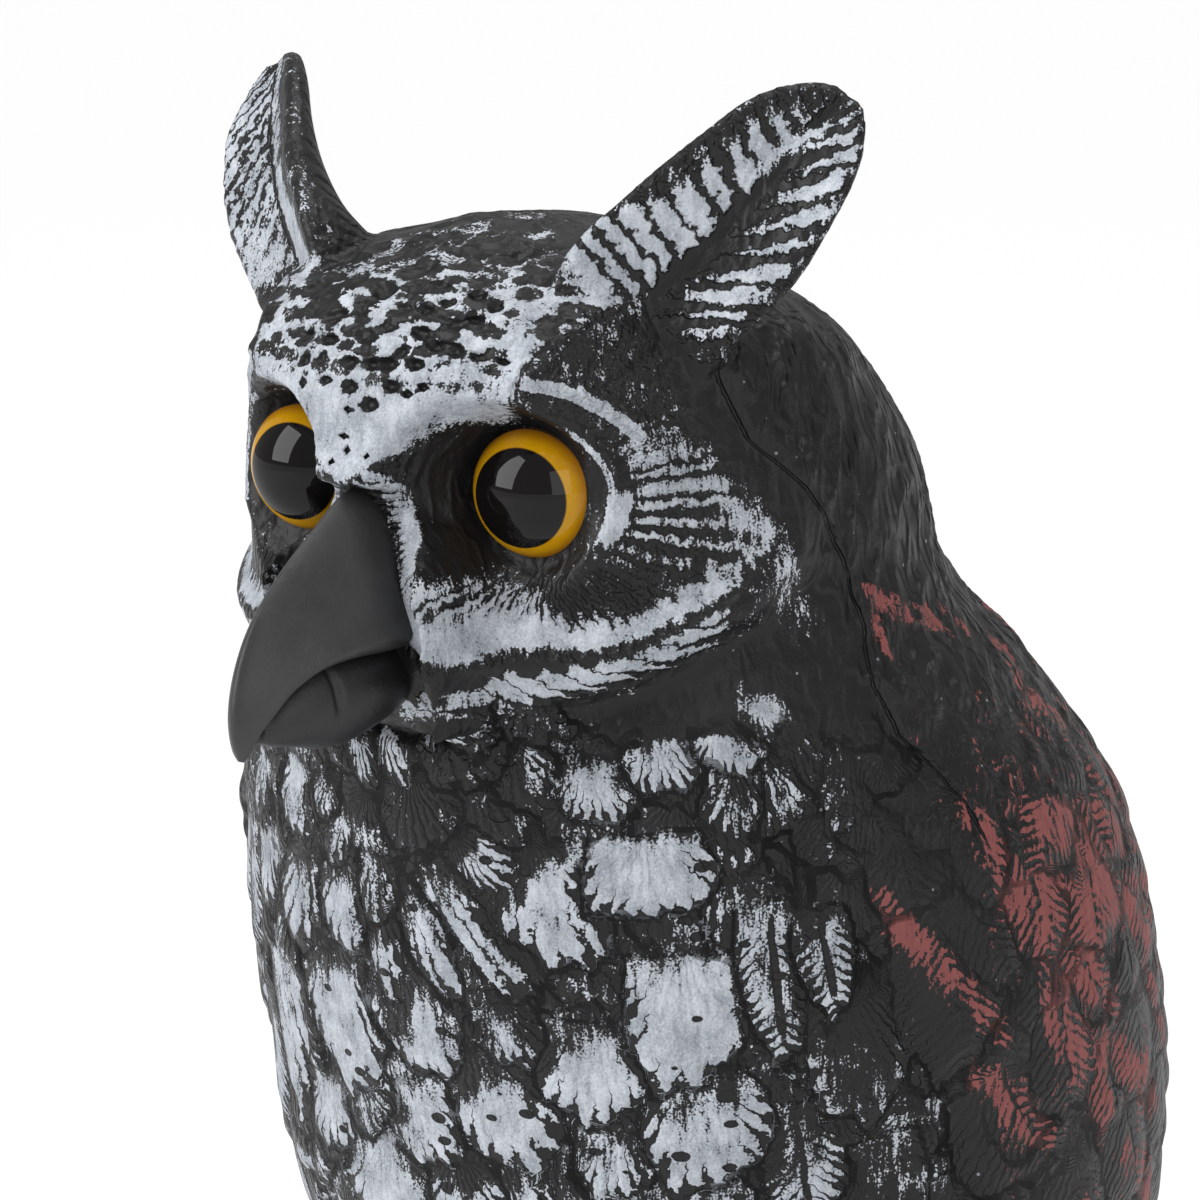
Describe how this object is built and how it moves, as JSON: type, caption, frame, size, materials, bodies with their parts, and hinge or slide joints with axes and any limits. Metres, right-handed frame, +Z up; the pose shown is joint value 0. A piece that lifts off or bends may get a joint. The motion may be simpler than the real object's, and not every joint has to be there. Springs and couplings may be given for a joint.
{
  "type": "owl decoy",
  "caption": "Moulded horned owl figure on a low round plinth, with overlapping feathers, upright ear tufts, a set-in hooked beak and domed glossy eyes, used to scare off garden birds.",
  "frame": {"origin": "centre of the plinth's flat underside", "axes": "+Z up; the owl looks along -Y, and its left side is +X"},
  "size_m": [0.1916, 0.2437, 0.4],
  "materials": {
    "body": "matte",
    "beak": "satin",
    "eye": "gloss"
  },
  "bodies": {
    "root": {"body": "body", "beak": "beak", "eye_left": "eye", "eye_right": "eye"}
  },
  "joints": []
}
